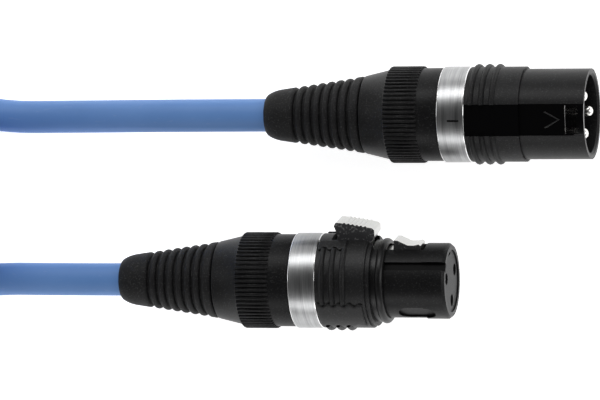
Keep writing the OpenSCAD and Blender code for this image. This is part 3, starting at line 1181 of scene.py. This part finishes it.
@dataclass
class Tie:
    """The hook-and-loop strap round the bundle, with its end lapped over on the outside.

    Attributes:
        coil: the coil that it holds.
        width: the strap's width.
        thick: the strap's thickness.
        lap: how far the free end goes past the start.
        gap: play between the strap and the bundle.
        step_start: how far before the lap the strap begins to step outwards.
        step_length: length of that step.
        step_gap: play between the two layers of the lap.
        curl_length: length of the free end that curls up.
        curl_height: how far its tip stands off.
        sag: how closely the strap's edges follow the coil's curve, from 0 to 1.
        clear: height over the floor below which no loops grow.
    """

    coil: Coil
    width: float = 14.0 * MM
    thick: float = 1.1 * MM
    lap: float = 17.0 * MM
    gap: float = 0.1 * MM
    step_start: float = 7.0 * MM
    step_length: float = 6.0 * MM
    step_gap: float = 0.15 * MM
    curl_length: float = 5.0 * MM
    curl_height: float = 0.9 * MM
    sag: float = 0.9
    clear: float = 0.5 * MM

    def centreline(self) -> list[tuple[Vector, Vector]]:
        """Returns the strap's line in the bundle's section, each a place and an outward normal."""
        r = self.coil.half_width + self.coil.diameter / 2 + self.gap
        straight = 2 * (self.coil.half_height - self.coil.half_width)
        middle = self.coil.diameter / 2 + self.coil.half_height + self.coil.lift
        low, high = middle - straight / 2, middle + straight / 2
        loop = 2 * math.pi * r + 2 * straight
        count = 150
        line = []
        for i in range(count + 1):
            goal = (loop + self.lap) * i / count
            out, height, *normal = stadium(r, low, high, goal)
            place, normal = Vector((out, height)), Vector(normal)
            over = min(1.0, max(0.0, (goal - loop + self.step_start) / self.step_length))
            over = over * over * (3 - 2 * over)
            curl = max(0.0, (goal - loop - self.lap + self.curl_length) / self.curl_length) ** 2
            place += normal * ((self.thick + self.step_gap) * over + self.curl_height * curl)
            line.append((place, normal))
        return line

    def place(self, section: Vector, across: float) -> Vector:
        """A world point of the strap.

        Args:
            section: outward distance from the bundle's middle, and height.
            across: place across the strap.

        Returns:
            The point, with the strap straight across and the bundle curving under it.
        """
        reach = self.coil.radius + section.x
        bow = across * across / (2 * reach) * self.sag
        return Vector((self.coil.centre - (reach - bow), -across, max(section.y, 0.05 * MM)))

    def strap(self, finish: Finish) -> Piece:
        """Builds the strap.

        Args:
            finish: the webbing.

        Returns:
            The strap.
        """
        bm = bmesh.new()
        uv = bm.loops.layers.uv.new("tape")
        line = self.centreline()
        half = self.width / 2
        cells = 10
        profile = [(-half + self.width * i / cells, 1.0) for i in range(cells + 1)]
        profile += [(half - self.width * i / cells, 0.0) for i in range(cells + 1)]
        rings = []
        for n, (place, normal) in enumerate(line):
            ring = []
            tail = max(0.0, (n - len(line) + 6) / 5)
            trim = 1.0 - 0.32 * tail * tail
            for across, side in profile:
                rim = abs(across) / half
                crown = (1 - rim ** 6 * 0.35) if side else (rim ** 6 * 0.35)
                spot = place + normal * (self.thick * crown)
                ring.append(bm.verts.new(self.place(spot, across * trim)))
            rings.append(ring)
        size = len(profile)
        for n, (one, two) in enumerate(zip(rings, rings[1:])):
            for i, face in enumerate(stitch(bm, one, two)):
                here, there = (k % size % (cells + 1) / cells for k in (i, i + 1))
                marks = ((n, here), (n, there), (n + 1, there), (n + 1, here))
                for loop, (u, v) in zip(face.loops, marks):
                    loop[uv].uv = (u / (len(rings) - 1), v)
        for ring in (rings[0], rings[-1]):
            for i in range(cells):
                bm.faces.new((ring[i], ring[i + 1], ring[-2 - i], ring[-1 - i]))
        piece = mesh_piece("tie_strap", bm, finish)
        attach(piece, "cable")
        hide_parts("cable_tie")
        LOG.info("tie_strap: %d mm wide", round(self.width / MM))
        return piece

    def pile(self, strap: Piece, finish: Finish) -> Piece:
        """Grows the strap's fine pile of loops.

        Args:
            strap: the strap that the loops stand on.
            finish: the loops' finish.

        Returns:
            The pile.
        """
        def build(g: Graph, given: dict[str, Wire]) -> Wire:
            """Scatters short bent fibres over the strap."""
            points = g.tree.nodes.new("GeometryNodeDistributePointsOnFaces")
            g.tree.links.new(given["Geometry"].socket, points.inputs["Mesh"])
            g.tree.links.new(given["Density"].socket, points.inputs["Density"])
            points.inputs["Seed"].default_value = 7
            spot = g.add("GeometryNodeInputPosition")
            test = {"data_type": "FLOAT", "operation": "GREATER_THAN"}
            clear = g.node("FunctionNodeCompare", test, {0: g.part(spot, 2), 1: self.clear})
            g.tree.links.new(clear.socket, points.inputs["Selection"])
            arch = g.add(
                "GeometryNodeCurveArc", Resolution=5, Radius=given["Loop"], Sweep_Angle=math.pi
            )
            quarter = (math.pi / 2, 0.0, 0.0)
            upright = g.add("GeometryNodeTransform", Geometry=arch, Rotation=quarter)
            thread = given["Thread"]
            ring = g.add("GeometryNodeCurvePrimitiveCircle", Resolution=3, Radius=thread)
            fibre = g.add("GeometryNodeCurveToMesh", Curve=upright, Profile_Curve=ring)
            limits = {"Max_001": math.tau, "Seed": 3}
            spin = g.node("FunctionNodeRandomValue", {"data_type": "FLOAT"}, limits, "Value_001")
            twist = g.add("ShaderNodeCombineXYZ", Z=spin)
            spots, turns = (Wire(g, points.outputs[name]) for name in ("Points", "Rotation"))
            placed = g.add(
                "GeometryNodeInstanceOnPoints", Points=spots, Instance=fibre, Rotation=turns
            )
            return g.add("GeometryNodeRotateInstances", Instances=placed, Rotation=twist)

        kinds = {"Density": "Float", "Loop": "Float", "Thread": "Float", "Finish": "Material"}
        tree = geometry_tree("loop_pile", kinds, build)
        values = {"Density": 1.6e6, "Loop": 0.28 * MM, "Thread": 0.035 * MM, "Finish": finish}
        piece = grown("tie_pile", tree, values, Matrix.Identity(4), strap.data.copy())
        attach(piece, "cable")
        LOG.info("tie_pile: %d faces", len(piece.data.polygons))
        return piece


@dataclass
class Studio:
    """The pale floor, the soft lights and the camera."""

    target: Vector = field(default_factory=lambda: Vector((-0.01195, -0.0005, 0.0106)))
    distance: float = 1.0
    lean: float = 14.5
    lens: float = 283.0

    def floor(self) -> None:
        """Lays the floor."""
        bm = bmesh.new()
        bmesh.ops.create_grid(bm, x_segments=2, y_segments=2, size=4.0)
        piece = mesh_piece("floor", bm, PaleFloor("floor_pale").paint(), smooth=False)

    def lights(self) -> None:
        """Hangs the soft boxes and sets the sky."""
        boxes = (
            ("key", (-0.1, 0.86, 0.68), (1.2, 0.4), 7.0),
            ("fill", (-0.1, -0.95, 0.5), (1.2, 0.35), 3.7),
            ("front", (1.0, 0.15, 0.4), (0.35, 0.8), 2.2),
            ("rear", (-1.0, 0.2, 0.5), (0.5, 0.5), 1.0),
        )
        for name, place, size, power in boxes:
            data = bpy.data.lights.new(name, "AREA")
            data.shape = "RECTANGLE"
            data.size, data.size_y = size
            data.energy = power
            lamp = linked(name, data)
            lamp.location = place
            aim = self.target - Vector(place)
            lamp.rotation_euler = aim.to_track_quat("-Z", "Y").to_euler()
        world = bpy.data.worlds.new("studio")
        world.use_nodes = True
        graph = Graph(world.node_tree)
        sky = world.node_tree.nodes["Background"]
        toward = graph.node("ShaderNodeTexCoord", out="Generated")
        height = graph.part(toward, 2)
        stops = [(0.0, (0.62,) * 3), (0.3, (0.5,) * 3), (0.68, (0.2,) * 3), (0.9, (0.055,) * 3)]
        shade = graph.node("ShaderNodeValToRGB", {"stops": stops}, {0: height})
        world.node_tree.links.new(shade.socket, sky.inputs[0])
        bpy.context.scene.world = world
        bpy.context.scene.view_settings.view_transform = "Standard"

    def camera(self) -> None:
        """Sets the camera over the connectors, leaning to see their fronts."""
        data = bpy.data.cameras.new("camera")
        data.lens = self.lens
        data.clip_end = 20.0
        camera = linked("camera", data)
        lean = math.radians(self.lean)
        back = Vector((math.sin(lean), 0.0, math.cos(lean)))
        right = Vector((math.cos(lean), 0.0, -math.sin(lean)))
        up = Vector((0.0, 1.0, 0.0))
        place = self.target + back * self.distance
        camera.matrix_world = Matrix((
            (right.x, up.x, back.x, place.x), (right.y, up.y, back.y, place.y),
            (right.z, up.z, back.z, place.z), (0.0, 0.0, 0.0, 1.0),
        ))
        bpy.context.scene.camera = camera


class Wardrobe:
    """Every finish of the cable, and which CAD node wears which."""

    def __init__(self) -> None:
        """Paints each finish once."""
        black = (0.0042, 0.0042, 0.0045)
        # bands painted a deeper black as painted shade: the male's flat strip and the female's
        # keyway channel
        bands = {
            "male": ShadeBand(MALE_SEAT, 0.0, 3.3 * MM, 0.2),
            "female": ShadeBand(FEMALE_SEAT, 52.5, 0.95 * MM, 0.7),
        }
        self.shells = {}
        for side, band in bands.items():
            shell = Moulded(f"shell_black_{side}", black, Grain.SATIN, 0.35, shade_band=band)
            self.shells[side] = shell.paint()
        grips = {
            "male": Moulded("grip_black_male", black, Grain.SPARK, 0.45, 0.16, bands["male"]),
            "female": Moulded("grip_black_female", black, Grain.SPARK, 0.45, 0.26),
        }
        self.grips = {side: grip.paint() for side, grip in grips.items()}
        self.mark = Moulded("mark_black", black, Grain.SATIN, 0.1, 0.15).paint()
        self.arrow = Moulded("arrow_grey", (0.016, 0.016, 0.016), Grain.SATIN, 0.1, 0.3).paint()
        self.collar = Moulded("collar_black", black, Grain.SATIN, 0.4, 0.13).paint()
        self.boot = Moulded("boot_black", (0.005, 0.005, 0.0053), Grain.SOFT, 0.6, 0.16).paint()
        self.insert = Moulded("insert_black", (0.007, 0.007, 0.0075), Grain.SPARK, 0.5).paint()
        self.seal = Moulded("seal_black", black, Grain.GLOSS, 0.2, 0.25).paint()
        self.chuck = Moulded("chuck_white", (0.5, 0.5, 0.47), Grain.SPARK, 0.1).paint()
        self.pins = Plated("pin_silver", (0.86, 0.85, 0.82), 0.2).paint()
        self.sockets = Plated("socket_plated", (0.72, 0.6, 0.34), 0.3).paint()
        self.steel = Plated("spring_steel", (0.5, 0.5, 0.5), 0.35).paint()
        self.latch = LatchPlating("latch_nickel", tuple(FEMALE_SEAT.across)).paint()
        self.jacket = Jacket("jacket_blue", (0.1, 0.22, 0.49), (0.132, 0.265, 0.56)).paint()
        self.webbing = Webbing("strap_woven", 0.09, 0.014).paint()
        self.rings = {}
        self.cores = {}
        for side, seat in SEATS.items():
            ends = (seat.mouth + edge * MM for edge in RING_SPAN)
            self.rings[side] = BrushedRing(f"ring_brushed_{side}", *ends).paint()
            self.cores[side] = CoreColours(f"wire_cores_{side}", (seat.side, seat.height)).paint()

    def dress(self, nodes: dict[str, Piece]) -> None:
        """Gives every CAD node its finish.

        Args:
            nodes: the CAD nodes by name.
        """
        for side in SEATS:
            worn = {
                "shell": self.shells[side], "grip": self.grips[side],
                "marking_ring": self.rings[side],
                "insert": self.insert, "chuck": self.chuck, "collar": self.collar,
                "boot": self.boot, "wires": self.cores[side],
            }
            for part, finish in worn.items():
                self.wear(nodes[f"{side}_{part}"], finish)
        for n in (1, 2, 3):
            self.wear(nodes[f"male_pin_{n}"], self.pins)
            self.wear(nodes[f"female_socket_{n}"], self.sockets)
        single = {
            "female_seal_ring": self.seal, "latch_lever": self.latch,
            "latch_pin": self.steel, "latch_spring": self.steel,
        }
        for name, finish in single.items():
            self.wear(nodes[name], finish)

    @staticmethod
    def wear(piece: Piece, finish: Finish) -> None:
        """Puts one finish on all of a piece's material slots."""
        for place in piece.material_slots:
            place.material = finish


def main() -> None:
    """Builds the looks model round the CAD frame."""
    logging.basicConfig(level=logging.INFO, format="%(message)s")
    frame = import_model()
    wardrobe = Wardrobe()
    wardrobe.dress(frame["nodes"])
    for side, seat in SEATS.items():
        rear = RearParts(side, seat)
        rear.boot(wardrobe.boot)
        rear.collar(wardrobe.collar)
        rear.marking_ring(wardrobe.rings[side])
    knurl = Knurl()
    for side, seat in SEATS.items():
        knurl.build(f"{side}_knurl", seat, f"{side}_collar_nut", wardrobe.collar)
    marks = MaleDetails()
    marks.arrow(wardrobe.arrow)
    marks.slot(wardrobe.mark)
    details = FemaleDetails()
    for name, *shape in PANELS:
        details.panel(f"female_panel_{name}", *shape, wardrobe.grips["female"])
    coil = Coil()
    tie = Tie(coil)
    strap = tie.strap(wardrobe.webbing)
    pile = tie.pile(strap, wardrobe.webbing)
    coil.build(wardrobe.jacket, [strap, pile])
    studio = Studio()
    studio.floor()
    studio.lights()
    studio.camera()


if __name__ == "__main__":
    main()
